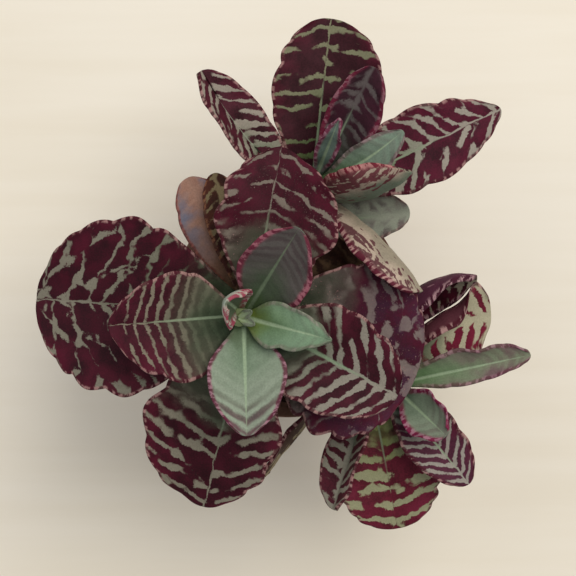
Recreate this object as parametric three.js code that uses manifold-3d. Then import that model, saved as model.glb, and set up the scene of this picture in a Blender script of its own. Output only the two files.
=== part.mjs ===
// A potted kalanchoe: a plain clay pot of soil with three short, leaning stems, and on each stem a rosette
// of broad, fleshy, wavy leaves in crossed pairs. Millimetres, +Z up, the origin under the middle of the pot.
// +X is right and +Y is back, as seen by someone who looks straight down on the plant.
import * as THREE from "three";
import { mergeVertices } from "three/addons/utils/BufferGeometryUtils.js";
import Module from "manifold-3d";

const wasm = await Module();
wasm.setup();

// Driving dimensions
const SEAT_GAP = 0.3; // between a leaf's foot and its stem, and round whatever stands in the soil

const POT = {
  height: 86,
  rimRadius: 50,
  rimHeight: 17,
  rimStep: 3,
  footRadius: 33,
  wall: 4.5,
  floor: 6,
  edge: 1.2,
  sides: 48,
  drains: { count: 3, radius: 3.5, ring: 15, sides: 16 },
};

const SOIL = { top: 78, crown: 2.5, lump: 0.7, sides: 48, rings: 9 };

// Each stem runs from its root to its growing tip, and bows outwards on the way.
const STEMS = {
  main: {
    root: [-9, -2, 62], bend: [-9, -2, 112], tip: [-18.8, -5.3, 154], rootRadius: 5.5, tipRadius: 3.3,
    leaflets: [[-12.5, -8, 158], [-13.7, -2.7, 158]],
  },
  back: {
    root: [5, 17, 62], bend: [7, 30, 98], tip: [11.5, 52, 118], rootRadius: 4.6, tipRadius: 3,
    leaflets: [],
  },
  side: {
    root: [14, -12, 62], bend: [24, -20, 90], tip: [46.5, -37, 103], rootRadius: 4.6, tipRadius: 3,
    leaflets: [],
  },
};
const STEM_SIDES = 12;
const STEM_STEPS = 18;
const SCARS = { count: 6, swell: 0.05 }; // low rings left by the leaves that fell

// Leaves. foot is how far up its stem a leaf grows, from 0 at the root to 1 at the tip, and tip is the
// place of the leaf's own tip. arch is how much steeper than its chord the leaf starts, and side turns
// the arch over. roll lifts the left margin. fold is the angle at the midrib, and left and right are the
// angles that the two margins have curled to. flare is how far the curl opens again towards the tip.
// Angles are in degrees and lengths in millimetres.
const PLAIN_LEAF = {
  kind: "striped",
  arch: 12,
  side: 0,
  roll: 0,
  fold: 8,
  left: 16,
  right: 16,
  flare: 0,
  thick: 2.4,
  neck: 8,
  swell: 2,
  widest: 0.6,
  point: 0.5,
  skew: 0,
  teeth: 5,
  toothDepth: 0.06,
  ripple: 1.2,
  ripples: 3,
  columns: 6,
};

const LEAVES = {
  main_leaf_left_large: {
    stem: "main", foot: 0.69, tip: [-103, 1.5, 114], arch: 12, width: 72, neck: 7, swell: 1.4, widest: 0.56,
    point: 0.6, skew: 0.02, teeth: 7,
  },
  main_leaf_left: {
    stem: "main", foot: 0.84, tip: [-69, -8.5, 152], arch: 14, width: 43, neck: 6.5, widest: 0.46,
    point: 0.7, skew: 0.12,
  },
  main_leaf_front_large: {
    stem: "main", foot: 0.76, tip: [-34.5, -83, 116], arch: 18, width: 55, widest: 0.56,
    point: 0.7, skew: -0.14, toothDepth: 0.09,
  },
  main_leaf_front_young: {
    kind: "young", stem: "main", foot: 0.91, tip: [-15.5, -50, 160], arch: 10, width: 31, neck: 5,
    widest: 0.5, point: 0.7, skew: 0.05, teeth: 3, toothDepth: 0,
  },
  main_leaf_right_bud: {
    kind: "young", stem: "main", foot: 0.943, tip: [16.5, -13.6, 164], arch: 14, width: 18.2, neck: 4,
    widest: 0.38, point: 0.8, thick: 2.1, teeth: 4, toothDepth: 0.12,
  },
  main_leaf_back_young: {
    kind: "young", stem: "main", foot: 0.892, tip: [4, 28, 169.6], arch: 10, width: 29, neck: 5, widest: 0.52,
    point: 0.6, skew: -0.1, teeth: 4, toothDepth: 0.02,
  },
  main_leaf_left_bud: {
    kind: "young", stem: "main", foot: 0.917, tip: [-22.5, 0.4, 177.5], arch: -30, width: 22, neck: 3.5, roll: 15,
    left: 73, right: 75, widest: 0.55, point: 0.6, thick: 1.7, teeth: 3, toothDepth: 0,
  },
  main_leaf_right: {
    stem: "main", foot: 0.84, tip: [42, -35.5, 150], arch: 16, width: 42, neck: 6.5, widest: 0.52, teeth: 6,
  },
  main_leaf_right_large: {
    stem: "main", foot: 0.68, tip: [52.5, -28, 119], arch: 8, width: 72, neck: 7, swell: 1.15, left: 6, skew: -0.03,
    teeth: 7, toothDepth: 0.09, widest: 0.58,
  },
  main_leaf_back_large: {
    stem: "main", foot: 0.76, tip: [-2.5, 60.5, 146], arch: 20, width: 48, point: 0.75,
    skew: -0.15, toothDepth: 0.1, ripple: 2,
  },
  main_leaf_fading: {
    kind: "fading", stem: "main", foot: 0.59, tip: [-42, 51.5, 106], arch: 14, width: 24, teeth: 4,
  },
  main_leaf_back_old: {
    kind: "dry", stem: "main", foot: 0.64, tip: [-30.5, 53, 112], arch: 16, width: 18, teeth: 4,
  },
  main_leaf_dry: {
    kind: "dry", stem: "main", foot: 0.55, tip: [35, 17, 103], arch: 16, side: -60, width: 21, neck: 6,
    skew: 0.35, teeth: 4, columns: 4,
  },
  back_leaf_left: {
    stem: "back", foot: 0.75, tip: [-35.5, 94, 122], arch: 14, side: -60, width: 26, roll: 32, fold: 28,
    left: 34, right: 34, teeth: 4,
  },
  back_leaf_back_large: {
    stem: "back", foot: 0.63, tip: [18, 118.5, 104], arch: 10, width: 47, skew: -0.1, teeth: 6,
    ripple: 1.8,
  },
  back_leaf_back_young: {
    stem: "back", foot: 0.878, tip: [34, 94.1, 132.4], arch: 8, width: 22, neck: 5, thick: 2,
    skew: -0.15, teeth: 4,
  },
  back_leaf_bud: {
    kind: "young", stem: "back", foot: 0.98, tip: [19.7, 71, 150], arch: 4, width: 9, neck: 2.4, widest: 0.5,
    point: 0.7, thick: 1.6, teeth: 3, toothDepth: 0, columns: 4,
  },
  back_leaf_right_young: {
    kind: "young", stem: "back", foot: 0.925, tip: [45.5, 68, 137.1], arch: 27, side: 28, width: 16, neck: 3.5,
    point: 0.7, thick: 1.8, skew: -0.1, teeth: 3, toothDepth: 0, columns: 4,
  },
  back_leaf_right_large: {
    stem: "back", foot: 0.76, tip: [88, 80, 110], arch: 10, width: 33, neck: 6, widest: 0.55, point: 0.75,
    teeth: 6, toothDepth: 0.08,
  },
  back_leaf_right_cupped: {
    stem: "back", foot: 0.879, tip: [48, 51.6, 142.8], arch: 34, side: 81, width: 28, neck: 7, swell: 1.4,
    roll: -82, left: 20, right: 70, point: 0.4, thick: 2, skew: -0.6, teeth: 4,
  },
  back_leaf_right_under: {
    stem: "back", foot: 0.5, tip: [51, 38, 104], arch: 14, width: 20, teeth: 4, columns: 4,
  },
  back_leaf_front_cupped: {
    stem: "back", foot: 0.822, tip: [52.8, 4.3, 133.8], arch: 17, side: -65, width: 22, neck: 4, roll: 102,
    left: 75, right: 40, skew: 0.35,
  },
  side_leaf_right_young: {
    kind: "young", stem: "side", foot: 0.92, tip: [100, -21.5, 113], arch: 8, width: 17, neck: 5,
    left: 60, widest: 0.5, skew: 0.2, teeth: 5, toothDepth: 0.08,
  },
  side_leaf_back_curled: {
    stem: "side", foot: 0.73, tip: [78, 9.8, 113], arch: 42, side: -90, width: 34, neck: 6, roll: 40,
    left: 129, right: 16, flare: 0.3, point: 0.75, skew: 0.2, teeth: 4,
  },
  side_leaf_right_curled: {
    stem: "side", foot: 0.859, tip: [86.5, -5.4, 92], arch: 23, side: -68, width: 45, neck: 6, roll: 20,
    fold: 4, left: 135, right: 4, flare: 0.85, skew: 0.12, teeth: 4,
  },
  side_leaf_front_right: {
    stem: "side", foot: 0.805, tip: [75.5, -75.5, 107], arch: 10, width: 25, neck: 5, point: 0.6,
  },
  side_leaf_front_large: {
    stem: "side", foot: 0.68, tip: [47, -97, 89], arch: 12, width: 46, teeth: 7, toothDepth: 0.07,
  },
  side_leaf_bud: {
    kind: "young", stem: "side", foot: 0.97, tip: [64.1, -53.9, 122.5], arch: 6, width: 22, neck: 3, thick: 1.8,
    left: 75, right: 25, skew: 0.1, teeth: 3, toothDepth: 0,
  },
  side_leaf_left_folded: {
    stem: "side", foot: 0.8, tip: [19, -86, 110], arch: 10, width: 24, neck: 6, roll: 46, fold: 28,
    left: 34, right: 34, teeth: 4,
  },
  side_leaf_left_edge: {
    stem: "side", foot: 0.56, tip: [-10.5, -73.5, 96], arch: 10, width: 15, neck: 6, roll: 105,
    teeth: 4, columns: 4,
  },
};

const LEAFLET = {
  foot: 1, arch: 6, width: 3.4, neck: 2, widest: 0.5, thick: 1, teeth: 2, toothDepth: 0, ripple: 0,
  columns: 4,
};

const degrees = THREE.MathUtils.degToRad;
const vector = (p) => new THREE.Vector3(...p);

// Solids
const solidOf = (geometry) => {
  const bare = geometry.clone();
  bare.deleteAttribute("normal");
  bare.deleteAttribute("uv");
  const merged = mergeVertices(bare, 1e-4);
  const vertProperties = new Float32Array(merged.attributes.position.array);
  const triVerts = new Uint32Array(merged.index.array);
  return new wasm.Manifold(new wasm.Mesh({ numProp: 3, vertProperties, triVerts }));
};

const geometryOf = (solid) => {
  const mesh = solid.asOriginal().simplify(0.03).getMesh();
  const geometry = new THREE.BufferGeometry();
  geometry.setAttribute("position", new THREE.BufferAttribute(mesh.vertProperties, 3));
  geometry.setIndex(new THREE.BufferAttribute(mesh.triVerts, 1));
  geometry.computeVertexNormals();
  return geometry;
};

// Stems
const stemCurve = ({ root, bend, tip }) =>
  new THREE.QuadraticBezierCurve3(vector(root), vector(bend), vector(tip));

const stemRadius = (stem, share) =>
  THREE.MathUtils.lerp(stem.rootRadius, stem.tipRadius, share) *
  (1 + SCARS.swell * Math.cos(2 * Math.PI * SCARS.count * share));

// A cylinder bent along the stem's curve, grown all round by margin.
function stemGeometry(stem, margin) {
  const curve = stemCurve(stem);
  const geometry = new THREE.CylinderGeometry(1, 1, 1, STEM_SIDES, STEM_STEPS);
  const place = geometry.attributes.position;
  const up = new THREE.Vector3(0, 0, 1);
  for (let i = 0; i < place.count; i += 1) {
    const share = place.getY(i) + 0.5;
    const radius = stemRadius(stem, share) + margin;
    const turn = new THREE.Quaternion().setFromUnitVectors(up, curve.getTangent(share));
    const across = new THREE.Vector3(place.getX(i), -place.getZ(i), 0).multiplyScalar(radius);
    const at = curve.getPoint(share).add(across.applyQuaternion(turn));
    if (share < 0.001) at.z -= margin;
    if (share > 0.999) at.addScaledVector(curve.getTangent(1), margin);
    place.setXYZ(i, at.x, at.y, at.z);
  }
  return geometry;
}

// Leaves
const CAP = 0.035; // how much of a leaf's length its rounded end takes

// Half the width of the blade, as a share, at x from the foot (0) to the tip (1).
function outline(leaf, x) {
  const { widest, point, swell } = leaf;
  const neck = leaf.neck / leaf.width;
  if (x < widest) return neck + (1 - neck) * Math.sin((Math.PI / 2) * (x / widest)) ** swell;
  return (1 - ((x - widest) / (1 - widest)) ** 2) ** point;
}

// The blade's midrib is an arc from the stem to the tip. Its frame is the way along, the left and the
// upper side.
function midrib(leaf) {
  const stem = STEMS[leaf.stem];
  const foot = stemCurve(stem).getPoint(leaf.foot);
  const chord = vector(leaf.tip).sub(foot);
  const reach = chord.length();
  const along = chord.clone().normalize();
  const upright = new THREE.Vector3(0, 0, 1).addScaledVector(along, -along.z).normalize();
  const rise = upright.clone().applyAxisAngle(along, degrees(leaf.side));
  const arch = degrees(leaf.arch) || 1e-4;
  const length = (reach * arch) / Math.sin(arch);
  return (t) => {
    const angle = arch * (1 - 2 * t);
    const way = along.clone().multiplyScalar(Math.cos(angle)).addScaledVector(rise, Math.sin(angle));
    const gone = (Math.sin(arch) - Math.sin(angle)) / (2 * arch);
    const risen = (Math.cos(angle) - Math.cos(arch)) / (2 * arch);
    const at = foot.clone().addScaledVector(along, length * gone).addScaledVector(rise, length * risen);
    const upper = upright.clone().applyAxisAngle(along, degrees(leaf.roll));
    upper.addScaledVector(way, -upper.dot(way)).normalize();
    const left = upper.clone().cross(way);
    return { at, way, upper, left };
  };
}

// A place on the leaf: u runs from foot to tip, v from the right margin (-1) to the left one (1), and
// face is 1 on the upper skin and -1 on the lower.
function bladePoint(leaf, frameAt, u, v, face) {
  const a = 0.65 * u + 0.35 * Math.sin((Math.PI / 2) * u);
  const t = a * (1 - CAP * v * v);
  const x = a * (1 - CAP);
  const { at, upper, left } = frameAt(t);
  const hand = Math.sign(v);
  const s = Math.abs(v);
  const bare = THREE.MathUtils.smoothstep(x, 0.25, 0.5);
  const depth = leaf.toothDepth * bare * (1 + 0.5 * Math.sin(9 * u + 2 * hand));
  const notches = leaf.teeth * (u + 0.03 * Math.sin(11 * u + 3 * hand));
  const tooth = 1 + depth * (Math.abs(Math.sin(Math.PI * notches)) - 0.6);
  const half = (leaf.width / 2) * outline(leaf, x) * (1 + hand * leaf.skew) * tooth;
  const fold = degrees(leaf.fold);
  const open = 1 - leaf.flare * THREE.MathUtils.smoothstep(x, 0.6, 0.96);
  const curl = degrees(hand < 0 ? leaf.right : leaf.left) * open;
  const turn = curl - fold || 1e-4;
  const angle = fold + turn * s;
  const across = (half * (Math.sin(angle) - Math.sin(fold))) / turn;
  const lift = (half * (Math.cos(fold) - Math.cos(angle))) / turn;
  const wave = leaf.ripple * s ** 3 * x * Math.sin(2 * Math.PI * leaf.ripples * x + 1.5 * hand);
  const normal = upper.clone().multiplyScalar(Math.cos(angle)).addScaledVector(left, -hand * Math.sin(angle));
  const skin = (leaf.thick / 2) * (0.45 + 0.55 * Math.sqrt(1 - s * s)) * (0.8 + 0.9 * (1 - a) ** 3);
  return at
    .addScaledVector(left, hand * across)
    .addScaledVector(upper, lift)
    .addScaledVector(normal, wave + face * skin);
}

// The blade as two like skins of rows and columns, joined round the rim.
function bladeGeometry(leaf) {
  const { columns } = leaf;
  const rows = 3 * leaf.teeth;
  const frameAt = midrib(leaf);
  const line = columns + 1;
  const skinCount = (rows + 1) * line;
  const positions = [];
  for (const face of [1, -1]) {
    for (let i = 0; i <= rows; i += 1) {
      for (let j = 0; j <= columns; j += 1) {
        positions.push(...bladePoint(leaf, frameAt, i / rows, (2 * j) / columns - 1, face).toArray());
      }
    }
  }
  const index = [];
  for (let i = 0; i < rows; i += 1) {
    for (let j = 0; j < columns; j += 1) {
      const a = i * line + j;
      const [b, c, d] = [a + 1, a + line + 1, a + line];
      index.push(a, c, b, a, d, c);
      index.push(a + skinCount, b + skinCount, c + skinCount, a + skinCount, c + skinCount, d + skinCount);
    }
  }
  const rim = [];
  for (let j = 0; j < columns; j += 1) rim.push(j);
  for (let i = 0; i < rows; i += 1) rim.push(i * line + columns);
  for (let j = columns; j > 0; j -= 1) rim.push(rows * line + j);
  for (let i = rows; i > 0; i -= 1) rim.push(i * line);
  rim.forEach((p, k) => {
    const q = rim[(k + 1) % rim.length];
    index.push(p, q, q + skinCount, p, q + skinCount, p + skinCount);
  });
  const geometry = new THREE.BufferGeometry();
  geometry.setAttribute("position", new THREE.Float32BufferAttribute(positions, 3));
  geometry.setIndex(index);
  return geometry;
}

const materialOf = (name, color, roughness) => {
  const material = new THREE.MeshStandardMaterial({ color, roughness, metalness: 0 });
  material.name = name;
  return material;
};

const LEAF_SKINS = {
  striped: materialOf("striped_leaf", 0x5b4048, 0.5),
  young: materialOf("young_leaf", 0x7d9378, 0.5),
  fading: materialOf("fading_leaf", 0xa07a6a, 0.7),
  dry: materialOf("dry_leaf", 0x5e4b3b, 0.85),
};
const STEM_BARK = materialOf("stem_bark", 0x80765a, 0.75);
const CLAY = materialOf("plain_clay", 0x6e4636, 0.85);
const EARTH = materialOf("potting_soil", 0x3a2c20, 0.95);

const plant = new THREE.Group();

function addMesh(name, geometry, material) {
  const mesh = new THREE.Mesh(geometry, material);
  mesh.name = name;
  plant.add(mesh);
}

// A stem ends in a pair of tiny leaflets that have only begun to open.
for (const [name, stem] of Object.entries(STEMS)) {
  let wood = solidOf(stemGeometry(stem, 0));
  for (const tip of stem.leaflets) {
    const leaflet = { ...PLAIN_LEAF, ...LEAFLET, stem: name, tip };
    wood = wood.add(solidOf(bladeGeometry(leaflet)));
  }
  addMesh(`stem_${name}`, geometryOf(wood), STEM_BARK);
}

for (const [name, given] of Object.entries(LEAVES)) {
  const leaf = { ...PLAIN_LEAF, ...given };
  const blade = solidOf(bladeGeometry(leaf));
  const seat = solidOf(stemGeometry(STEMS[leaf.stem], SEAT_GAP));
  const pieces = blade.subtract(seat).decompose();
  pieces.sort((p, q) => q.volume() - p.volume());
  addMesh(name, geometryOf(pieces[0]), LEAF_SKINS[leaf.kind]);
}

// A shape turned round the pot's axis from a profile of [radius, height] points.
const turned = (profile, sides) =>
  new THREE.LatheGeometry(profile.map(([r, z]) => new THREE.Vector2(r, z)), sides).rotateX(Math.PI / 2);

// Pot: a turned wall and floor, with a ring of round drainage holes through the floor.
function potSolid() {
  const { height, rimRadius, rimHeight, rimStep, footRadius, wall, floor, edge, sides, drains } = POT;
  const shoulder = height - rimHeight;
  const bodyRadius = rimRadius - rimStep;
  const profile = [
    [0, 0],
    [footRadius - edge, 0],
    [footRadius, edge],
    [bodyRadius, shoulder],
    [rimRadius - edge, shoulder],
    [rimRadius, shoulder + edge],
    [rimRadius, height - edge],
    [rimRadius - edge, height],
    [rimRadius - wall + edge, height],
    [rimRadius - wall, height - edge],
    [bodyRadius - wall, shoulder],
    [footRadius - wall, floor],
    [0, floor],
  ];
  let pot = solidOf(turned(profile, sides));
  for (let i = 0; i < drains.count; i += 1) {
    const angle = (2 * Math.PI * i) / drains.count;
    const drill = new THREE.CylinderGeometry(drains.radius, drains.radius, 3 * floor, drains.sides);
    drill.rotateX(Math.PI / 2);
    drill.translate(drains.ring * Math.cos(angle), drains.ring * Math.sin(angle), 0);
    pot = pot.subtract(solidOf(drill));
  }
  return pot;
}
addMesh("pot", geometryOf(potSolid()), CLAY);

// Soil: it fills the pot to just under the rim, with a low lumpy crown and plain holes for the stems.
function soilSolid() {
  const { height, rimRadius, rimHeight, rimStep, footRadius, wall, floor } = POT;
  const shoulder = height - rimHeight;
  const bodyRadius = rimRadius - rimStep;
  const topRadius = bodyRadius - wall + ((rimStep) * (SOIL.top - shoulder)) / rimHeight - SEAT_GAP;
  const outer = [
    [0, floor + SEAT_GAP],
    [footRadius - wall - SEAT_GAP, floor + SEAT_GAP],
    [bodyRadius - wall - SEAT_GAP, shoulder],
    [topRadius, SOIL.top],
  ];
  for (let ring = SOIL.rings - 1; ring >= 0; ring -= 1) {
    const share = ring / SOIL.rings;
    outer.push([topRadius * share, SOIL.top + SOIL.crown * (1 - share * share)]);
  }
  const geometry = turned(outer, SOIL.sides);
  const place = geometry.attributes.position;
  for (let i = 0; i < place.count; i += 1) {
    const [x, y, z] = [place.getX(i), place.getY(i), place.getZ(i)];
    if (z < SOIL.top + 0.01) continue;
    const lump = Math.sin(x * 0.9) * Math.cos(y * 1.1) + Math.sin(x * 0.37 + y * 0.51);
    place.setZ(i, z + SOIL.lump * lump);
  }
  let soil = solidOf(geometry);
  for (const stem of Object.values(STEMS)) soil = soil.subtract(solidOf(stemGeometry(stem, SEAT_GAP)));
  return soil;
}
addMesh("soil", geometryOf(soilSolid()), EARTH);

export default plant;
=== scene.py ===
# %% [markdown]
# # A potted kalanchoe
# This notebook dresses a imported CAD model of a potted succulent: a clay pot, its soil, three leaning
# stems and thirty broad leaves with maroon bars. Every piece lies where the CAD model says, in metres,
# with +Z up. The looks are all procedural: the shapes come from bmesh, and the colours from nodes.

import math

import bmesh
import bpy
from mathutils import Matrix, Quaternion, Vector, noise


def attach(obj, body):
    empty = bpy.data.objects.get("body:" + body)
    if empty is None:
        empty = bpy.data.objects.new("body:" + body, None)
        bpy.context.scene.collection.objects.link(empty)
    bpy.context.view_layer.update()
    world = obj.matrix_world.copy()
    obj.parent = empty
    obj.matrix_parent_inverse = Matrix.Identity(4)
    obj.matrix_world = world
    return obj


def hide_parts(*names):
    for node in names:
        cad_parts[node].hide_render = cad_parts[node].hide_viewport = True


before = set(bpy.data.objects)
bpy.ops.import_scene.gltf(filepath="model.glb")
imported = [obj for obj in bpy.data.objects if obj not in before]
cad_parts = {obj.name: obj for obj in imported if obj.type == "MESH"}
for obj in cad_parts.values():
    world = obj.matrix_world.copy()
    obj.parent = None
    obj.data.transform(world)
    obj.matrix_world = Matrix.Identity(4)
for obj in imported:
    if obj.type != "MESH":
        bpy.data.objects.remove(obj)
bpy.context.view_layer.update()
MM = 0.001  # the CAD model's sizes are in millimetres

# %% [markdown]
# ## The camera
# The plant is seen from straight above. A camera looks along its own -Z, so it needs no turn at all: it
# only has to hang over the plant. Its distance decides how much larger the high leaves look than the low
# ones, and its lens then fits the plant into the picture.

# %% Hang the camera over the plant
CAMERA_HEIGHT = 680 * MM
PICTURE = 576  # the picture's side, in pixels
FOCAL_PIXELS = 1375
camera_data = bpy.data.cameras.new("camera")
camera_data.sensor_width = 36
camera_data.lens = 36 * FOCAL_PIXELS / PICTURE
camera_data.clip_end = 20
camera = bpy.data.objects.new("camera", camera_data)
camera.location = (0, 6 * MM, CAMERA_HEIGHT)
bpy.context.scene.collection.objects.link(camera)
bpy.context.scene.camera = camera
print("lens:", round(camera_data.lens, 1), "mm")

# %% [markdown]
# ## Light
# The light is soft and comes from above, from the back and the right, as from a large window. One large
# area light gives soft shadows to the front left of the plant, a weaker one fills them from the left, and
# a pale world keeps the undersides from going black. The colours are meant to be seen as they are, so
# the view transform is the plain one.


# %% Make the lights and the world
PLANT_MIDDLE = Vector((0, 0, 120 * MM))  # both lights are turned to it


def soft_light(name, place, side, power, colour):
    light = bpy.data.lights.new(name, "AREA")
    light.shape = "DISK"
    light.size = side
    light.energy = power
    light.color = colour
    lamp = bpy.data.objects.new(name, light)
    lamp.location = place
    lamp.rotation_euler = (PLANT_MIDDLE - lamp.location).to_track_quat("-Z", "Y").to_euler()
    bpy.context.scene.collection.objects.link(lamp)


soft_light("key_light", place=(0.8, 0.8, 2.1), side=1.9, power=41, colour=(1.0, 0.965, 0.9))
soft_light("fill_light", place=(-1.2, 0.6, 1.6), side=1.4, power=6, colour=(0.96, 0.98, 1.0))

world = bpy.data.worlds.new("pale_room")
world.use_nodes = True
backdrop = world.node_tree.nodes["Background"]
backdrop.inputs["Color"].default_value = (0.95, 0.95, 0.97, 1)
backdrop.inputs["Strength"].default_value = 0.44
bpy.context.scene.world = world
bpy.context.scene.view_settings.view_transform = "Standard"

# %% [markdown]
# ## Shader maths as expressions
# A leaf's pattern is a long sum: where a bar runs, how strong it is there, how it breaks up. Written
# node by node it can't be read. A `Wave` wraps one socket, so that `1 - mask * 0.5` adds the Math nodes
# by itself. A `Finish` is a material in the making, and its `node` method adds any other node.


# %% A socket that can be reckoned with
class Wave:
    """One output socket of a finish. Sums on it become Math nodes."""

    def __init__(self, finish, socket):
        self.finish = finish
        self.socket = socket

    def math(self, operation, *others):
        return self.finish.node("ShaderNodeMath", {"operation": operation}, dict(enumerate(others)))

    def __add__(self, other):
        return self.math("ADD", self, other)

    def __sub__(self, other):
        return self.math("SUBTRACT", self, other)

    def __rsub__(self, other):
        return self.math("SUBTRACT", other, self)

    def __mul__(self, other):
        return self.math("MULTIPLY", self, other)

    def __truediv__(self, other):
        return self.math("DIVIDE", self, other)

    def __abs__(self):
        return self.math("ABSOLUTE", self)

    def sine(self):
        return self.math("SINE", self)

    def least(self, other):
        return self.math("MINIMUM", self, other)

    def rise(self, low, high):
        """0 below low, 1 above high, and a smooth slope between them."""
        sockets = {"Value": self, "From Min": low, "From Max": high}
        return self.finish.node("ShaderNodeMapRange", {"interpolation_type": "SMOOTHSTEP"}, sockets)


# %% A material in the making
def linear(hex_colour):
    """A colour as Blender reckons with it, from six hexadecimal digits."""
    shares = [int(hex_colour[i : i + 2], 16) / 255 for i in (1, 3, 5)]
    return tuple(s / 12.92 if s <= 0.04045 else ((s + 0.055) / 1.055) ** 2.4 for s in shares) + (1.0,)


class Finish:
    """A material made of nodes around one Principled shader."""

    def __init__(self, name):
        self.material = bpy.data.materials.new(name)
        self.material.use_nodes = True
        self.tree = self.material.node_tree
        self.shader = self.tree.nodes["Principled BSDF"]

    def node(self, kind, settings=None, sockets=None, output=0):
        made = self.tree.nodes.new(kind)
        for name, value in (settings or {}).items():
            setattr(made, name, value)
        for name, value in (sockets or {}).items():
            self.fill(made.inputs[name], value)
        return Wave(self, made.outputs[output])

    def fill(self, socket, value):
        if isinstance(value, Wave):
            self.tree.links.new(value.socket, socket)
        elif isinstance(value, str):
            socket.default_value = linear(value)
        else:
            socket.default_value = value

    def mix(self, share, low, high, blend="MIX"):
        """A colour between low and high."""
        settings = {"data_type": "RGBA", "blend_type": blend}
        return self.node("ShaderNodeMix", settings, {0: share, 6: low, 7: high}, output=2)

    def join(self, x, y, z):
        return self.node("ShaderNodeCombineXYZ", None, {0: x, 1: y, 2: z})

    def split(self, vector):
        made = self.tree.nodes.new("ShaderNodeSeparateXYZ")
        self.fill(made.inputs[0], vector)
        return [Wave(self, socket) for socket in made.outputs]

    def attribute(self, name):
        return self.node("ShaderNodeAttribute", {"attribute_name": name}, output=1)

    def noise(self, place, scale, detail=2.0):
        """Clouds from about -0.5 to 0.5."""
        sockets = {"Vector": place, "Scale": scale, "Detail": detail}
        return self.node("ShaderNodeTexNoise", None, sockets) - 0.5

    def wear(self, **sockets):
        """Fills sockets of the Principled shader: Base_Color stands for Base Color."""
        for name, value in sockets.items():
            self.fill(self.shader.inputs[name.replace("_", " ")], value)

    def bump(self, height, distance, strength=1.0):
        sockets = {"Height": height, "Distance": distance, "Strength": strength}
        self.wear(Normal=self.node("ShaderNodeBump", None, sockets))


print("a mid grey is", [round(c, 3) for c in linear("#808080")])


# %% [markdown]
# ## From a bmesh to a piece
# Every piece ends the same way: its mesh is written to an object at the origin, it gets its finish and
# smooth shading, it rides on the plant's one body, and the CAD node it stands for is hidden.

# %% Turn a bmesh into a finished piece
def piece(name, bm, finish, slot, *nodes):
    mesh = bpy.data.meshes.new(name)
    bm.to_mesh(mesh)
    bm.free()
    mesh.polygons.foreach_set("use_smooth", [True] * len(mesh.polygons))
    mesh.materials.append(finish.material)
    made = bpy.data.objects.new(name, mesh)
    bpy.context.scene.collection.objects.link(made)
    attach(made, "root")
    if nodes:
        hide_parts(*nodes)
    return made


# %% [markdown]
# ## The floor
# A plain pale table top. It is one grid with a faint cream grain, so that it doesn't look like paper.

# %% Lay the floor
floor_finish = Finish("pale_table")
place = floor_finish.node("ShaderNodeTexCoord", output=3)
across, along, _ = floor_finish.split(place)
grain = floor_finish.noise(floor_finish.join(across * 3, along * 40, 0.0), 2.0, 4.0)
cloud = floor_finish.noise(place, 3.0)
pale = floor_finish.mix((grain * 0.5 + cloud + 0.5).rise(0.2, 0.8), "#ebe4d6", "#e3dac8")
floor_finish.wear(Base_Color=pale, Roughness=0.75)
floor_mesh = bmesh.new()
bmesh.ops.create_grid(floor_mesh, x_segments=8, y_segments=8, size=3.0)
mesh = bpy.data.meshes.new("floor")
floor_mesh.to_mesh(mesh)
floor_mesh.free()
mesh.materials.append(floor_finish.material)
floor = bpy.data.objects.new("floor", mesh)
bpy.context.scene.collection.objects.link(floor)
print("floor:", len(mesh.polygons), "faces")

# %% [markdown]
# ## The stems
# A stem is a tube that leans and bows on its way up, and each fallen leaf left a low ring on it. The
# leaves need its curve as well, because each leaf starts at a share of its stem's length. The curve is
# a quadratic Bezier, which three points describe.

# %% The curves of the stems
STEMS = {
    "main": dict(root=(-9, -2, 62), bend=(-9, -2, 112), tip=(-18.8, -5.3, 154), radii=(5.5, 3.3)),
    "back": dict(root=(5, 17, 62), bend=(7, 30, 98), tip=(11.5, 52, 118), radii=(4.6, 3.0)),
    "side": dict(root=(14, -12, 62), bend=(24, -20, 90), tip=(46.5, -37, 103), radii=(4.6, 3.0)),
}
SCARS = 6  # rings on a stem
SCAR_SWELL = 0.05


def on_stem(stem, share):
    """The point on a stem and the stem's direction there."""
    root, bend, tip = (Vector(stem[key]) for key in ("root", "bend", "tip"))
    left = 1 - share
    point = left * left * root + 2 * left * share * bend + share * share * tip
    way = (left * (bend - root) + share * (tip - bend)).normalized()
    return point, way


def stem_radius(stem, share):
    low, high = stem["radii"]
    return (low + (high - low) * share) * (1 + SCAR_SWELL * math.cos(2 * math.pi * SCARS * share))


print("main stem's middle:", [round(c, 1) for c in on_stem(STEMS["main"], 0.5)[0]])


# %% [markdown]
# ## The blade of a leaf
# A leaf is a fleshy blade with a narrow foot, a midrib that arches, a broad rounded end, and margins
# that curl up, wave and carry blunt teeth. It starts as a flat grid, and `solidify` gives it a second
# skin and a rim. Each vertex of that slab then says where on the leaf it is: how far from foot to tip,
# how far from the midrib to a margin, and on which skin. A formula moves it there. The same formula is
# in the CAD model, with fewer rows, so both have the same shape.

# %% A leaf's own numbers
PLAIN_LEAF = dict(
    arch=12, side=0, roll=0, fold=8, left=16, right=16, flare=0, thick=2.4, neck=8, swell=2, widest=0.6,
    point=0.5, skew=0, teeth=5, tooth_depth=0.06, ripple=1.2, ripples=3,
)
CAP = 0.035  # how much of a leaf's length its rounded end takes
TEETH_FROM = (0.25, 0.5)  # the stretch of a leaf over which its teeth grow to their full depth
FLARE_FROM = (0.6, 0.96)  # the stretch over which the curl of a flaring leaf opens


def rise(value, low, high):
    """0 below low, 1 above high, and a smooth slope between them."""
    share = min(max((value - low) / (high - low), 0.0), 1.0)
    return share * share * (3 - 2 * share)


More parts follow.
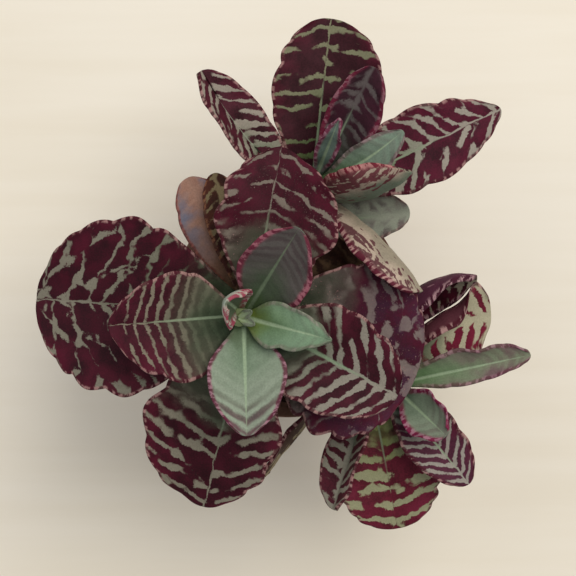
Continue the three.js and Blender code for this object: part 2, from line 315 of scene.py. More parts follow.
def outline(leaf, x):
    """Half the width of the blade, as a share, at x from the foot (0) to the tip (1)."""
    neck = leaf["neck"] / leaf["width"]
    if x < leaf["widest"]:
        return neck + (1 - neck) * math.sin(math.pi / 2 * x / leaf["widest"]) ** leaf["swell"]
    return (1 - ((x - leaf["widest"]) / (1 - leaf["widest"])) ** 2) ** leaf["point"]


# %% The arc of a midrib
def midrib(leaf):
    """Gives the length of the midrib's arc and a frame at any share of it."""
    foot, _ = on_stem(STEMS[leaf["stem"]], leaf["foot"])
    chord = Vector(leaf["tip"]) - foot
    reach, along = chord.length, chord.normalized()
    upright = (Vector((0, 0, 1)) - along * along.z).normalized()
    rise_way = Quaternion(along, math.radians(leaf["side"])) @ upright
    rolled = Quaternion(along, math.radians(leaf["roll"])) @ upright
    arch = math.radians(leaf["arch"])
    length = reach * arch / math.sin(arch)

    def frame_at(t):
        angle = arch * (1 - 2 * t)
        way = along * math.cos(angle) + rise_way * math.sin(angle)
        gone = (math.sin(arch) - math.sin(angle)) / (2 * arch)
        risen = (math.cos(angle) - math.cos(arch)) / (2 * arch)
        at = foot + along * (length * gone) + rise_way * (length * risen)
        upper = (rolled - way * rolled.dot(way)).normalized()
        return at, upper, upper.cross(way)

    return length, frame_at


# %% A place on the blade
def on_blade(leaf, frame_at, length, u, v, face):
    """The place at u (foot 0, tip 1), v (right margin -1, left 1) and face (under -1, rim 0, over 1)."""
    a = 0.65 * u + 0.35 * math.sin(math.pi / 2 * u)
    x = a * (1 - CAP)
    at, upper, left = frame_at(a * (1 - CAP * v * v))
    hand = (v > 0) - (v < 0)
    s = abs(v)
    depth = leaf["tooth_depth"] * rise(x, *TEETH_FROM) * (1 + 0.5 * math.sin(9 * u + 2 * hand))
    notches = leaf["teeth"] * (u + 0.03 * math.sin(11 * u + 3 * hand))
    tooth = 1 + depth * (abs(math.sin(math.pi * notches)) - 0.6)
    half = leaf["width"] / 2 * outline(leaf, x) * (1 + hand * leaf["skew"]) * tooth
    fold = math.radians(leaf["fold"])
    curl = math.radians(leaf["left"] if hand > 0 else leaf["right"])
    curl *= 1 - leaf["flare"] * rise(x, *FLARE_FROM)
    turn = curl - fold or 1e-4
    angle = fold + turn * s
    across = half * (math.sin(angle) - math.sin(fold)) / turn
    lift = half * (math.cos(fold) - math.cos(angle)) / turn
    wave = leaf["ripple"] * s**3 * x * math.sin(2 * math.pi * leaf["ripples"] * x + 1.5 * hand)
    flesh = leaf["thick"] / 2 * (0.45 + 0.55 * math.sqrt(max(0.0, 1 - s * s))) * (0.8 + 0.9 * (1 - a) ** 3)
    normal = upper * math.cos(angle) - left * (hand * math.sin(angle))
    sideways = left * (hand * math.cos(angle)) + upper * math.sin(angle)
    wave += fine_relief(leaf, a, v, length, half)
    point = at + left * (hand * across) + upper * lift + normal * (wave + face * flesh)
    if face == 0:
        point += sideways * (0.35 * flesh)
    return point, (a * length, hand * s * half, (1 - s) * half), (a, v, (1 - face) / 2)


def fine_relief(leaf, a, v, length, half):
    """Small unevenness of the skin, in millimetres: low swells, puckers and a channel along the midrib."""
    seed = leaf["seed"]
    rib = math.exp(-((v * half / 1.1) ** 2)) * (1 - a) ** 0.5
    swell = noise.noise(Vector((a * length / 7, v * half / 9, seed))) * 0.5 * min(1.0, 4 * a)
    pucker = noise.noise(Vector((a * length / 2.6, v * half / 5, seed + 9))) * 0.22 * abs(v)
    crumple = leaf.get("crumple", 0)
    if crumple:
        swell += crumple * noise.noise(Vector((a * length / 6, v * half / 4, seed + 3)))
    return (swell + pucker) * rise(a, 0.0, 0.15) - rib * 0.45


# %% Build a blade
def blade(leaf, rows, columns):
    """A bmesh of the blade, with its own coordinates kept on its vertices for the finish to read."""
    bm = bmesh.new()
    bmesh.ops.create_grid(bm, x_segments=rows, y_segments=columns, size=1.0)
    bmesh.ops.solidify(bm, geom=bm.faces[:], thickness=2.0)
    rim = [e for e in bm.edges if abs(e.verts[0].co.z - e.verts[1].co.z) > 1]
    bmesh.ops.subdivide_edges(bm, edges=rim, cuts=1)
    lie = bm.verts.layers.float_vector.new("lie")
    share = bm.verts.layers.float_vector.new("share")
    length, frame_at = midrib(leaf)
    for vert in bm.verts:
        u = (vert.co.x + 1) / 2
        v = 0.6 * vert.co.y + 0.4 * math.sin(math.pi / 2 * vert.co.y)
        face = round(vert.co.z + 1)
        point, vert[lie], vert[share] = on_blade(leaf, frame_at, length, u, v, face)
        vert.co = point * MM
    bmesh.ops.recalc_face_normals(bm, faces=bm.faces[:])
    return bm


# %% [markdown]
# ## The skin of a leaf
# The pattern is what this plant is grown for. The skin is green at the foot and a pale tan-green further
# out. Maroon patches cover it, long ones that lie across the blade, and what shows between them is a
# ragged pale net, whose lines lean back to the foot at the margins. The margin itself is a hem of pink
# and maroon blots. Undersides are paler, with streaks that run lengthwise. All of it is drawn in the
# leaf's own coordinates, so that it follows the curl.
#
# A Voronoi texture measures how far each point is from the border between two cells. Squeezed along the
# leaf, its cells become the patches, and its borders the net. Noise moves the borders about, and a
# second noise decides where the net is wide, thin or missing. Mixed with a plain sine wave along the
# leaf, the patches line up into bars that lean back to the foot on both sides of the midrib.

# A look gives the greens `foot`, `body` and `gap` from the stem outwards, the maroons `bar`, `deep` and
# `blush`, the `faint` bars near the foot and the `rib`. `spacing` is the distance from bar to bar in
# millimetres, `stretch` how long a patch is for its width, `order` how much of the pattern is plain bars,
# and `pale` how wide the net is at the foot and at the tip. `bead` and `dent` are the blots of the hem.

# %% What a look can say
LOOK = dict(
    foot="#303e28", body="#4f5f46", gap="#847c6b", bar="#3d0d1b", deep="#280810", blush="#5a1229",
    faint="#252a1c", rib="#86967a", rib_width=0.8, rib_reach=0.6, spacing=5.0, stretch=2.8, slant=0.35,
    wobble=2.2, ragged=2.2, fray=1.3, trace=0.4, order=0.4, pale=(0.13, 0.11), patchy=0.2,
    blur=(0.12, 0.03), start=0.12, full=0.42, strength=1.0, spine=0.5, bead="#a07a76",
    dent="#45101e", bead_every=3.6, hem=1.2,
    beads=0.85, under="#6f7864", belly="#8f8272", streak="#54222d", under_cover=0.5, tint_and_sheen="#4f2c48",
    tint_and_sheen_amount=0.0, specks=0.0, rough=0.62,
)


# %% The pattern on the upper side
def net(skin, look, seed, along, across, a, s, clouds, grain):
    """1 on the maroon patches and 0 on the pale net between them."""
    wide = abs(across)
    half = across.rise(-0.3, 0.3) * 31.7 + seed  # the two halves of a leaf aren't alike
    meander = skin.noise(skin.join(along, across, seed + 20), 0.13, 1.0)
    sway = skin.noise(skin.join(along, across, seed + 40), 0.17, 1.0)
    tatter = skin.noise(skin.join(along, across, seed + 60), 0.36, 2.0)
    frayed = tatter * look["ragged"] + grain * look["fray"]
    line = along + wide * look["slant"] + meander * (look["wobble"] * 2) + frayed
    cross = wide + sway * (look["wobble"] * 3) + grain * look["ragged"]
    pitch = 1.0 / look["spacing"]
    vector = skin.join(line * pitch + half, cross * (pitch / look["stretch"]), 0.0)
    settings = {"voronoi_dimensions": "2D", "feature": "DISTANCE_TO_EDGE"}
    border = skin.node("ShaderNodeTexVoronoi", settings, {"Vector": vector, "Scale": 1.0})
    bars = (line * (2 * math.pi * pitch)).sine() * 0.22 + 0.2
    border = border * (1 - look["order"]) + bars * look["order"]
    breaks = skin.noise(skin.join(along, across, seed + 80), 0.2, 1.0)
    if look["spine"]:
        near = abs(across + meander * 3 + grain * 0.8)
        border = border.least(near * (pitch * look["spine"]) + breaks * 0.5 + 0.02)
    low, high = look["pale"]
    width = a.rise(0.1, 0.9) * (high - low) + low + (clouds + breaks) * look["patchy"]
    soft, sharp = look["blur"]
    blur = a.rise(look["start"], look["full"] + 0.1) * (sharp - soft) + soft
    return skin.node(
        "ShaderNodeMapRange", {"interpolation_type": "SMOOTHSTEP"},
        {"Value": border - width, "From Min": blur * -1.0, "From Max": blur},
    )


# %% Paint a leaf's skin
def leaf_skin(name, seed, **given):
    look = {**LOOK, **given}
    skin = Finish(name)
    along, across, inset = skin.split(skin.attribute("lie"))
    a, v, under = skin.split(skin.attribute("share"))
    s = abs(v)
    wide = abs(across)
    start, full = look["start"], look["full"]

    # the ground: green at the foot, tan-green further out, slightly clouded
    clouds = skin.noise(skin.join(along, across, seed), 0.12, 3.0)
    grain = skin.noise(skin.join(along, across, seed), 1.5, 2.0)
    ground = skin.mix((a + clouds * 0.35).rise(0.03, 0.4), look["foot"], look["body"])
    ground = skin.mix((a + s * 0.25 + clouds * 0.4).rise(0.3, 0.8), ground, look["gap"])

    # the patches: faint near the foot, maroon further out, redder towards the margins
    mark = net(skin, look, seed, along, across, a, s, clouds, grain)
    dark = skin.mix((clouds + grain * 0.5 + 0.5).rise(0.3, 0.8), look["bar"], look["deep"])
    dark = skin.mix((s * 0.5 + a * 0.3 - clouds).rise(0.4, 1.1) * 0.8, dark, look["blush"])
    dark = skin.mix((a + s * 0.1 + clouds * 0.2).rise(start, full), look["faint"], dark)
    reach = (a + s * 0.12 + clouds * 0.25).rise(start, full)
    weight = mark * (reach * (1 - look["trace"]) + look["trace"]) * (a + s * 0.15).rise(0.02, start + 0.1)
    colour = skin.mix(weight * look["strength"], ground, dark)
    rib = (1 - (wide / ((1.15 - a) * look["rib_width"])).rise(0.4, 1.4)) * (
        1 - (a + clouds * 0.3).rise(look["rib_reach"] - 0.25, look["rib_reach"] + 0.15)
    )
    colour = skin.mix(rib * 0.8, colour, look["rib"])
    # A tint laid over the outer blade. On main_leaf_right_large it is a painted sheen: a purple gleam where
    # light would catch the waxy bloom. On the fading leaf it is its own blue-grey spotting, and on the
    # young side leaf its own mauve tip.
    if look["tint_and_sheen_amount"]:
        tint_and_sheen_mask = (clouds * 1.4 + 0.5 + s * 0.25).rise(0.4, 0.9) * (a.rise(0.3, 0.8) * look["tint_and_sheen_amount"])
        colour = skin.mix(tint_and_sheen_mask, colour, look["tint_and_sheen"])
    if look["specks"]:
        specks = grain.rise(0.12, 0.24) * clouds.rise(-0.1, 0.1) * look["specks"]
        colour = skin.mix(specks, colour, look["bead"])

    # the underside: pale, with streaks that run along it, closer together towards the margin
    streaks = skin.noise(skin.join(along * 0.1, across * 0.7 + clouds * 2, seed + 5), 1.0, 3.0)
    blots = skin.noise(skin.join(along * 0.35, across * 0.45, seed + 8), 1.0, 2.0)
    trace = streaks * 2.4 + blots * 1.8 + s * 1.1 - 0.55 + (look["under_cover"] - 0.5) * 2
    below = skin.mix((s + clouds).rise(0.15, 0.75), look["under"], look["belly"])
    below = skin.mix(trace.rise(0.0, 0.2) * (a + s * 0.3).rise(0.15, 0.6) * 0.9, below, look["streak"])
    colour = skin.mix(under.rise(0.55, 0.75), colour, below)

    # the margin: pink blots between maroon ones, of uneven length
    blots = skin.noise(skin.join(along * (1.9 / look["bead_every"]), v * 2 + seed, inset * 0.25), 1.0, 1.5)
    bead = (blots * 3 + grain + (along * (2 * math.pi / look["bead_every"])).sine() * 0.25).rise(-0.1, 0.25)
    depth = look["hem"] * 0.5
    hem = 1 - (inset + grain * 0.9 + blots * 1.2).rise(depth, depth * 2.6)
    hem = hem * (a + clouds * 0.2).rise(0.12, 0.35)
    colour = skin.mix(hem * look["beads"], colour, skin.mix(bead, look["dent"], look["bead"]))
    colour = skin.mix(grain.rise(-0.25, 0.3) * 0.2, colour, "#100c09")

    skin.wear(Base_Color=colour, Roughness=grain * 0.12 + clouds * 0.15 + look["rough"])
    skin.shader.inputs["Specular IOR Level"].default_value = 0.12
    skin.bump(grain * 0.6 + mark * 0.4 + bead * hem * 0.8, 0.00018, 0.7)
    return skin


# %% [markdown]
# ## The thirty leaves
# Each leaf says on which stem it grows, how far up, where its tip lies, how it is shaped and how its
# skin looks. The young leaves at the growing tips are pale mint and hardly barred. The old ones low on
# the stem are fading pink or dry and brown.

# %% Looks that several leaves share
YOUNG = dict(
    slot="young_leaf", foot="#4d6038", body="#66795f", gap="#788672", bar="#552839", deep="#432030",
    blush="#662640", faint="#4d6148", rib="#98ab8c", rib_width=1.1, rib_reach=0.95, spacing=4.0,
    stretch=5, slant=0.45, wobble=1.6, ragged=1.2, fray=0.5, trace=0.25, order=0.6,
    pale=(0.24, 0.18), patchy=0.1, blur=(0.2, 0.12), start=0.5, full=0.9, strength=0.8, spine=0,
    bead="#a07080", dent="#5a1c34", hem=1.5, beads=0.9, under="#76887a", belly="#828f81",
    streak="#65364a", under_cover=0.25,
)
LEAVES = {
    "main_leaf_left_large": dict(
        stem="main", foot=0.69, tip=(-103, 1.5, 114), arch=12, width=72, neck=7, swell=1.4, widest=0.56,
        point=0.6, skew=0.02, teeth=7,
        look=dict(spacing=9, stretch=1.8, slant=0.55, order=0.25, pale=(0.09, 0.09), patchy=0.28,
                  wobble=3.6, ragged=3, start=0.16, full=0.42, foot="#2e3b27", body="#3f4f35",
                  gap="#7b7668", rib_reach=0.35, spine=1.5, deep="#2a0b14"),
    ),
    "main_leaf_left": dict(
        stem="main", foot=0.84, tip=(-69, -8.5, 152), arch=14, width=43, neck=6.5, widest=0.46,
        point=0.7, skew=0.12,
        look=dict(spacing=4.2, stretch=5, slant=0.25, order=0.6, pale=(0.17, 0.09), patchy=0.22,
                  start=0.36, full=0.66, wobble=1.6, ragged=2.0, gap="#786f60", body="#414e39",
                  foot="#333f2e", rib_reach=0.7, spine=1.2),
    ),
    "main_leaf_front_large": dict(
        stem="main", foot=0.76, tip=(-34.5, -83, 116), arch=18, width=55, widest=0.56, point=0.7,
        skew=-0.14, tooth_depth=0.09,
        look=dict(spacing=7, stretch=2.6, slant=0.4, order=0.4, pale=(0.12, 0.11), start=0.42, full=0.6,
                  foot="#303c28", body="#3c4a34", gap="#7e7869", patchy=0.26, spine=1.6),
    ),
    "main_leaf_front_young": dict(
        stem="main", foot=0.91, tip=(-15.5, -50, 160), arch=10, width=31, neck=5, widest=0.5, point=0.7,
        skew=0.05, teeth=3, tooth_depth=0,
        look=dict(YOUNG, foot="#414e33", body="#6d8069", gap="#8b9684", spacing=4.6, slant=0.6,
                  trace=0.22, start=0.6, full=0.95),
    ),
    "main_leaf_right_bud": dict(
        stem="main", foot=0.943, tip=(16.5, -13.6, 164), arch=14, width=18.2, neck=4, widest=0.38,
        point=0.8, thick=2.1, teeth=4, tooth_depth=0.12, crumple=0.8,
        look=dict(YOUNG, foot="#626f26", body="#5a7350", gap="#728b70", strength=0.15, beads=0.3),
    ),
    "main_leaf_back_young": dict(
        stem="main", foot=0.892, tip=(4, 28, 169.6), arch=10, width=29, neck=5, widest=0.52, point=0.6,
        skew=-0.1, teeth=4, tooth_depth=0.02,
        look=dict(YOUNG, foot="#42532a", body="#3d4c37", gap="#514c49", bar="#372229", deep="#2f1a22",
                  rib="#66745c", start=0.4, full=0.8, spacing=3.6, strength=0.4, hem=2.2,
                  bead="#965a66", dent="#621f33"),
    ),
    "main_leaf_left_bud": dict(
        stem="main", foot=0.917, tip=(-22.5, 0.4, 177.5), arch=-30, width=22, neck=3.5, roll=15,
        left=73, right=75, widest=0.55, point=0.6, thick=1.7, teeth=3, tooth_depth=0,
        look=dict(YOUNG, foot="#4f5a2c", body="#55614a", gap="#65705c", hem=3.0, beads=1.0,
                  bead="#b7aca0", dent="#9a4858", strength=0.1, under="#8d978a", belly="#a9a89c"),
    ),
    "main_leaf_right": dict(
        stem="main", foot=0.84, tip=(42, -35.5, 150), arch=16, width=42, neck=6.5, widest=0.52, teeth=6,
        look=dict(spacing=5.6, stretch=3, slant=0.55, order=0.55, pale=(0.16, 0.14), patchy=0.22,
                  start=0.34, full=0.55, foot="#2c3a25", body="#4c5d46", gap="#857f74", rib="#7c9174",
                  rib_reach=0.8, rib_width=1.4, spine=1.1),
    ),
    "main_leaf_right_large": dict(
        stem="main", foot=0.68, tip=(52.5, -28, 119), arch=8, width=72, neck=7, swell=1.15, left=6,
        skew=-0.03, teeth=7, tooth_depth=0.09, widest=0.58,
        look=dict(spacing=8.5, stretch=2, order=0.3, pale=(0.08, 0.13), patchy=0.3, wobble=3.6,
                  # the purple tint on this leaf is a painted sheen, where light would catch the waxy bloom
                  ragged=3, tint_and_sheen_amount=0.4, bar="#430f24", foot="#1d2418", body="#2a3522", gap="#7a6d68",
                  start=0.42, full=0.6, specks=0.9),
    ),
    "main_leaf_back_large": dict(
        stem="main", foot=0.76, tip=(-2.5, 60.5, 146), arch=20, width=48, point=0.75, skew=-0.15,
        tooth_depth=0.1, ripple=2,
        look=dict(spacing=5.6, stretch=3, order=0.5, pale=(0.12, 0.05), patchy=0.28, start=0.46,
                  full=0.62, foot="#222a1b", body="#2d3825", gap="#756a60", spine=1.3, bar="#430e1e",
                  specks=0.8),
    ),
    "main_leaf_fading": dict(
        stem="main", foot=0.59, tip=(-42, 51.5, 106), arch=14, width=24, teeth=4,
        look=dict(slot="fading_leaf", foot="#55492f", body="#8d6e58", gap="#9c7a6a", bar="#74463a",
                  deep="#59352d", blush="#86463f", faint="#564029", strength=0.35, blur=(0.3, 0.3),
                  bead="#8d5248", dent="#6c3a35", tint_and_sheen="#656a7c", tint_and_sheen_amount=0.9, rough=0.75),
    ),
    "main_leaf_back_old": dict(
        stem="main", foot=0.64, tip=(-30.5, 53, 112), arch=16, width=18, teeth=4,
        look=dict(slot="dry_leaf", foot="#33341f", body="#4c4933", gap="#6f6248", bar="#3c1f17",
                  deep="#291510", blush="#54291b", faint="#2e2718", bead="#80563f", dent="#472420",
                  spine=0.4, rough=0.75),
    ),
    "main_leaf_dry": dict(
        stem="main", foot=0.55, tip=(35, 17, 103), arch=16, side=-60, width=21, neck=6, skew=0.35,
        teeth=4, crumple=2.4,
        look=dict(slot="dry_leaf", foot="#2b2116", body="#392a1e", gap="#54402f", bar="#321c15",
                  deep="#1f120d", blush="#422518", faint="#251b12", bead="#6d5240", dent="#362018",
                  blur=(0.2, 0.15), rough=0.85),
    ),
    "back_leaf_left": dict(
        stem="back", foot=0.75, tip=(-35.5, 94, 122), arch=14, side=-60, width=26, roll=32, fold=28,
        left=34, right=34, teeth=4,
        look=dict(spacing=6, stretch=2.6, pale=(0.16, 0.12), gap="#938a7e", spine=0, start=0.05,
                  full=0.3, body="#64735a", bar="#4a1c28", slant=0.7, rib="#98a08c", rib_reach=0.95,
                  rib_width=1.2, patchy=0.26),
    ),
    "back_leaf_back_large": dict(
        stem="back", foot=0.63, tip=(18, 118.5, 104), arch=10, width=47, skew=-0.1, teeth=6, ripple=1.8,
        look=dict(spacing=6.6, stretch=3, order=0.4, pale=(0.09, 0.1), foot="#4f5f2e", body="#56653f",
                  gap="#74735a", start=0.06, full=0.3, slant=0.1, bar="#37121b", patchy=0.22,
                  spine=1.6),
    ),
    "back_leaf_back_young": dict(
        stem="back", foot=0.878, tip=(34, 94.1, 132.4), arch=8, width=22, neck=5, thick=2, skew=-0.15,
        teeth=4,
        look=dict(spacing=4.6, stretch=3, pale=(0.1, 0.11), foot="#273222", body="#343d35",
                  gap="#544c4b", bar="#321520", deep="#251018", blush="#45192a", start=0.35, full=0.6,
                  blur=(0.15, 0.08), dent="#62182f", bead="#885863", hem=1.8),
    ),
    "back_leaf_bud": dict(
        stem="back", foot=0.98, tip=(19.7, 71, 150), arch=4, width=9, neck=2.4, widest=0.5, point=0.7,
        thick=1.6, teeth=3, tooth_depth=0,
        look=dict(YOUNG, foot="#44564a", body="#5c7268", gap="#6c7e74", dent="#742446", strength=0.1),
    ),
    "back_leaf_right_young": dict(
        stem="back", foot=0.925, tip=(45.5, 68, 137.1), arch=27, side=28, width=16, neck=3.5, point=0.7,
        thick=1.8, skew=-0.1, teeth=3, tooth_depth=0,
        look=dict(YOUNG, foot="#4e6838", body="#587352", gap="#728373", strength=0.2, beads=0.5),
    ),
    "back_leaf_right_large": dict(
        stem="back", foot=0.76, tip=(88, 80, 110), arch=10, width=33, neck=6, widest=0.55, point=0.75,
        teeth=6, tooth_depth=0.08,
        look=dict(spacing=6.6, stretch=2.4, order=0.35, pale=(0.13, 0.12), patchy=0.3, start=0.05,
                  full=0.2, bar="#501127", deep="#300e18", gap="#958d82", slant=0.7, ragged=2.4,
                  body="#758368", spine=1.5),
    ),
    "back_leaf_right_cupped": dict(
        stem="back", foot=0.879, tip=(48, 51.6, 142.8), arch=34, side=81, width=28, neck=7, swell=1.4,
        roll=-82, left=20, right=70, point=0.4, thick=2, skew=-0.6, teeth=4,
        look=dict(under="#63705f", belly="#a09080", streak="#5c1c2c", under_cover=0.5, bead="#b27c78",
                  dent="#6a172a", hem=2.4, bead_every=2.8),
    ),
    "back_leaf_right_under": dict(
        stem="back", foot=0.5, tip=(51, 38, 104), arch=14, width=20, teeth=4,
        look=dict(spacing=6, stretch=1.4, pale=(0.22, 0.22), blur=(0.2, 0.15), bar="#56414a",
                  deep="#42343a", blush="#63303f", gap="#8a8f80", body="#808b78", strength=0.7,
                  beads=0.5),
    ),
    "back_leaf_front_cupped": dict(
        stem="back", foot=0.822, tip=(52.8, 4.3, 133.8), arch=17, side=-65, width=22, neck=4, roll=102,
        left=75, right=40, skew=0.35,
        look=dict(under="#948a78", belly="#b8a694", streak="#552330", under_cover=0.48, bead="#c09490",
                  dent="#5e172d", hem=2.4, bead_every=2.8),
    ),
    "side_leaf_right_young": dict(
        stem="side", foot=0.92, tip=(100, -21.5, 113), arch=8, width=17, neck=5, left=60, widest=0.5,
        skew=0.2, teeth=5, tooth_depth=0.08,
        look=dict(YOUNG, foot="#55734a", body="#687f5d", gap="#788069", tint_and_sheen="#6d4355", tint_and_sheen_amount=0.7,
                  strength=0.3, beads=0.6),
    ),
    "side_leaf_back_curled": dict(
        stem="side", foot=0.73, tip=(78, 9.8, 113), arch=42, side=-90, width=34, neck=6, roll=40,
        left=129, right=16, flare=0.3, point=0.75, skew=0.2, teeth=4,
        look=dict(under="#6b3f4c", belly="#86606a", streak="#42132c", under_cover=0.7, bead="#b08c90",
                  dent="#3d0f22", hem=2.6),
    ),
    "side_leaf_right_curled": dict(
        stem="side", foot=0.859, tip=(86.5, -5.4, 92), arch=23, side=-68, width=45, neck=6, roll=20,
        fold=4, left=135, right=4, flare=0.85, skew=0.12, teeth=4,
        look=dict(bar="#6e1730", deep="#520f20", blush="#84203a", gap="#b0aa90", spacing=6.5, stretch=3,
                  order=0.5, pale=(0.2, 0.2), under="#6a3c44", belly="#a07c76", streak="#4a1528",
                  under_cover=0.7, hem=2.4, bead="#b08a86"),
    ),
    "side_leaf_front_right": dict(
        stem="side", foot=0.805, tip=(75.5, -75.5, 107), arch=10, width=25, neck=5, point=0.6,
        look=dict(spacing=4.6, stretch=4, slant=0.8, order=0.6, pale=(0.18, 0.14), foot="#2e3e34",
                  body="#60705f", gap="#948d84", bar="#532437", deep="#3f1c2a", spine=1.3, start=0.25,
                  full=0.5, rib_reach=0.9, rib_width=1.1),
    ),
    "side_leaf_front_large": dict(
        stem="side", foot=0.68, tip=(47, -97, 89), arch=12, width=46, teeth=7, tooth_depth=0.07,
        look=dict(spacing=7, stretch=2.6, slant=0.2, order=0.45, pale=(0.16, 0.15), start=0.3,
                  full=0.52, foot="#6d7a33", body="#737e46", gap="#8f8f70", bar="#611a2b",
                  deep="#46121d", blush="#72213a", patchy=0.28, spine=0),
    ),
    "side_leaf_bud": dict(
        stem="side", foot=0.97, tip=(64.1, -53.9, 122.5), arch=6, width=22, neck=3, thick=1.8, left=75,
        right=25, skew=0.1, teeth=3, tooth_depth=0,
        look=dict(YOUNG, foot="#3f5040", body="#687a66", gap="#7f8b78", dent="#762042", hem=2.6,
                  beads=1.0, strength=0.35, bar="#5e2f42"),
    ),
    "side_leaf_left_folded": dict(
        stem="side", foot=0.8, tip=(19, -86, 110), arch=10, width=24, neck=6, roll=46, fold=28, left=34,
        right=34, teeth=4,
        look=dict(spacing=5.5, stretch=2.6, pale=(0.16, 0.16), body="#4d584a", gap="#858174",
                  bar="#4a1b26", deep="#34121a"),
    ),
    "side_leaf_left_edge": dict(
        stem="side", foot=0.56, tip=(-10.5, -73.5, 96), arch=10, width=15, neck=6, roll=105, teeth=4,
        look=dict(under="#85795f", belly="#8f8069", streak="#341815", under_cover=0.62),
    ),
}
print("leaves:", len(LEAVES))

# %% Grow the leaves
SEED_STEP = 3.7  # moves each leaf to another part of the noise
triangles = 0
for count, (node, given) in enumerate(LEAVES.items()):
    leaf = {**PLAIN_LEAF, **given, "seed": SEED_STEP * count}
    look = dict(leaf["look"])
    slot = look.pop("slot", "striped_leaf")
    length, _ = midrib(leaf)
    bm = blade(leaf, rows=round(24 + length), columns=round(16 + leaf["width"] / 2))
    skin = leaf_skin(f"{node}_skin", leaf["seed"], **look)
    grown = piece(f"{node}_blade", bm, skin, slot, node)
    triangles += 2 * len(grown.data.polygons)
print("triangles in the leaves:", triangles)

# %% [markdown]
# ## Stems, and the two leaflets at the growing tip
# A stem is the same flat grid, wrapped round the stem's curve: its long side runs up, and its short
# side round. The seam is merged and both ends are closed. The bark is dull and green-brown, with pale
# rings where leaves have fallen.

# %% Wrap a grid round a stem
STEM_ROWS, STEM_SIDES = 96, 32


def stem_tube(stem):
    bm = bmesh.new()
    bmesh.ops.create_grid(bm, x_segments=STEM_ROWS, y_segments=STEM_SIDES, size=0.5)
    lie = bm.verts.layers.float_vector.new("lie")
    for vert in bm.verts:
        share, turn = vert.co.x + 0.5, 2 * math.pi * (vert.co.y + 0.5)
        point, way = on_stem(stem, share)
        around = Vector((math.cos(turn), math.sin(turn), 0))
        turned = Vector((0, 0, 1)).rotation_difference(way) @ around
        knots = 0.25 * noise.noise(Vector((4 * around.x, 4 * around.y, 40 * share)))
        vert[lie] = (around.x, around.y, share)
        vert.co = (point + turned * (stem_radius(stem, share) + knots)) * MM
    bmesh.ops.remove_doubles(bm, verts=bm.verts[:], dist=1e-6)
    bmesh.ops.holes_fill(bm, edges=[e for e in bm.edges if e.is_boundary], sides=0)
    bmesh.ops.recalc_face_normals(bm, faces=bm.faces[:])
    return bm


bark = Finish("stem_bark_skin")
x, y, share = bark.split(bark.attribute("lie"))
ring = (share * (2 * math.pi * SCARS)).sine().rise(0.75, 0.98)
fleck = bark.noise(bark.join(x * 3, y * 3, share * 14), 1.0, 4.0)
colour = bark.mix((fleck + share * 0.5).rise(-0.1, 0.5), "#6b6046", "#7c8a5e")
colour = bark.mix(ring * 0.6, colour, "#a39a7c")
bark.wear(Base_Color=colour, Roughness=fleck * 0.3 + 0.7)
bark.bump(fleck + ring * 0.5, 0.0004, 0.8)
for name, stem in STEMS.items():
    tube = piece(f"stem_{name}_bark", stem_tube(stem), bark, "stem_bark", f"stem_{name}")
    print(tube.name, len(tube.data.polygons), "faces")

# %% Open the two leaflets
LEAFLET = dict(
    PLAIN_LEAF, stem="main", foot=1.0, arch=6, width=3.4, neck=2, widest=0.5, thick=1, teeth=2,
    tooth_depth=0, ripple=0,
)
leaflet_look = dict(YOUNG, foot="#8ea050", body="#9cb37a", strength=0.1, beads=0.1)
slot = leaflet_look.pop("slot")
leaflet_skin = leaf_skin("leaflet_skin", 200.0, **leaflet_look)
for side, tip in {"front": (-12.5, -8, 158), "back": (-13.7, -2.7, 158)}.items():
    bm = blade(dict(LEAFLET, tip=tip, seed=9.0), rows=16, columns=10)
    leaflet = piece(f"leaflet_{side}", bm, leaflet_skin, slot)
    print(leaflet.name, len(leaflet.data.polygons), "faces")

# %% [markdown]
# ## Pot
# The leaves hide the pot from above, so it is a plain clay one with a thick rim and a slight taper. A
# profile is spun round the axis, and the rim's edges get a bevel, because fired clay has no sharp edge.

# %% Turn the pot
POT = dict(height=86, rim_radius=50, rim_height=17, rim_step=3, foot_radius=33, wall=4.5, floor=6)
TURNS = 96


def turned(profile):
    """A closed shape from (radius, height) points in millimetres, the first and the last on the axis."""
    bm = bmesh.new()
    points = [bm.verts.new((r * MM, 0, z * MM)) for r, z in profile]
    lines = [bm.edges.new(pair) for pair in zip(points, points[1:])]
    bmesh.ops.spin(
        bm, geom=points + lines, cent=(0, 0, 0), axis=(0, 0, 1), angle=2 * math.pi, steps=TURNS,
        use_merge=True,
    )
    bmesh.ops.remove_doubles(bm, verts=bm.verts[:], dist=1e-6)
    bmesh.ops.recalc_face_normals(bm, faces=bm.faces[:])
    return bm


shoulder = POT["height"] - POT["rim_height"]
body_radius = POT["rim_radius"] - POT["rim_step"]
pot_profile = [
    (0, 0), (POT["foot_radius"], 0), (body_radius, shoulder), (POT["rim_radius"], shoulder),
    (POT["rim_radius"], POT["height"]), (POT["rim_radius"] - POT["wall"], POT["height"]),
    (body_radius - POT["wall"], shoulder), (POT["foot_radius"] - POT["wall"], POT["floor"]),
    (0, POT["floor"]),
]


def on_corner(edge):
    """Whether an edge lies on one of the sharp circles of the pot."""
    one, other = (vert.co for vert in edge.verts)
    level = abs(one.z - other.z) < 1e-6 and abs(one.xy.length - other.xy.length) < 1e-5
    return level and one.xy.length > 20 * MM and edge.calc_face_angle(0) > 0.5


pot = turned(pot_profile)
corners = [edge for edge in pot.edges if on_corner(edge)]
bmesh.ops.bevel(
    pot, geom=corners, offset=1.2 * MM, offset_type="OFFSET", affect="EDGES", segments=4, profile=0.5,
    material=-1,
)
print("pot:", len(corners), "edges rounded")

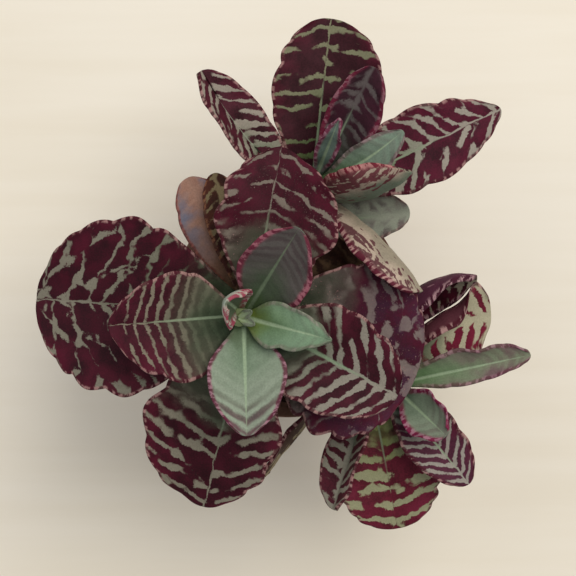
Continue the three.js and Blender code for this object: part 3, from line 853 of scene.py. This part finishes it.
# %% Fire the clay
clay = Finish("fired_clay")
place = clay.node("ShaderNodeTexCoord", output=3)
_, _, height = clay.split(place)
speck = clay.noise(place, 900.0, 3.0)
cloud = clay.noise(place, 28.0, 4.0)
rings = clay.noise(clay.join(0.0, 0.0, height * 420), 1.0, 2.0)
colour = clay.mix((cloud + 0.5).rise(0.25, 0.75), "#5e3c2e", "#754e3c")
salt = (cloud + height * 5 + speck * 0.3).rise(0.28, 0.75) * 0.45
colour = clay.mix(salt, colour, "#a08a7a")
colour = clay.mix((speck + 0.5).rise(0.62, 0.8) * 0.5, colour, "#432a20")
clay.wear(Base_Color=colour, Roughness=speck * 0.15 + 0.85)
clay.bump(speck * 0.5 + rings * 0.9, 0.0004, 0.6)
piece("clay_pot", pot, clay, "plain_clay", "pot")

# %% [markdown]
# ## Soil
# Loose potting soil fills the pot to just under the rim. Its top is a low lumpy crown, and it is strewn
# with small crumbs, so that it reads as soil from the side. The crumbs are tiny icospheres in the same
# mesh, sunk by half, and their places come from a golden-angle spiral with noise, which needs no dice.

# %% Heap the soil
SOIL = dict(top=78, crown=2.5, lump=1.12)
SOIL_RINGS = 40
CRUMBS = 520
CLEARANCE = 0.3  # between the soil and the pot
GOLDEN_ANGLE = 2.399963
inner_radius = body_radius - POT["wall"]
soil_radius = inner_radius + POT["rim_step"] * (SOIL["top"] - shoulder) / POT["rim_height"] - CLEARANCE


def soil_height(x, y):
    away = min(1.0, math.hypot(x, y) / soil_radius)
    lumps = 1.1 * noise.noise(Vector((x / 5, y / 5, 2))) + 0.5 * noise.noise(Vector((x / 1.7, y / 1.7, 5)))
    return SOIL["top"] + SOIL["crown"] * (1 - away * away) + SOIL["lump"] * lumps


soil_bottom = POT["floor"] + CLEARANCE
soil_profile = [
    (0, soil_bottom), (POT["foot_radius"] - POT["wall"] - CLEARANCE, soil_bottom),
    (inner_radius - CLEARANCE, shoulder), (soil_radius, SOIL["top"] - 1),
]
soil_profile += [(soil_radius * ring / SOIL_RINGS, SOIL["top"]) for ring in range(SOIL_RINGS, -1, -1)]
soil = turned(soil_profile)
for vert in soil.verts:
    if vert.co.z > (SOIL["top"] - 0.5) * MM:
        vert.co.z = soil_height(vert.co.x / MM, vert.co.y / MM) * MM
for i in range(CRUMBS):
    away = soil_radius * math.sqrt((i + 0.5) / CRUMBS) * 0.985
    turn = i * GOLDEN_ANGLE + noise.noise(Vector((i * 0.7, 1, 1)))
    at = Vector((away * math.cos(turn), away * math.sin(turn), 0))
    at.z = soil_height(at.x, at.y)
    size = 0.7 + 0.9 * abs(noise.noise(Vector((i * 1.3, 4, 2))))
    crumb = bmesh.ops.create_icosphere(soil, subdivisions=1, radius=size * MM)["verts"]
    for vert in crumb:
        vert.co += vert.co * 0.5 * noise.noise(vert.co / MM * 1.1 + Vector((i, 0, 0)))
    bmesh.ops.translate(soil, verts=crumb, vec=at * MM)
earth = Finish("loose_soil")
place = earth.node("ShaderNodeTexCoord", output=3)
lump = earth.noise(place, 350.0, 4.0)
fibre = earth.noise(place, 1400.0, 2.0)
colour = earth.mix((lump + fibre * 0.6 + 0.5).rise(0.3, 0.75), "#241a13", "#54412f")
earth.wear(Base_Color=colour, Roughness=0.95)
earth.bump(lump + fibre * 0.5, 0.0008, 0.9)
heap = piece("potting_soil_heap", soil, earth, "potting_soil", "soil")
print("soil:", len(heap.data.polygons), "faces")
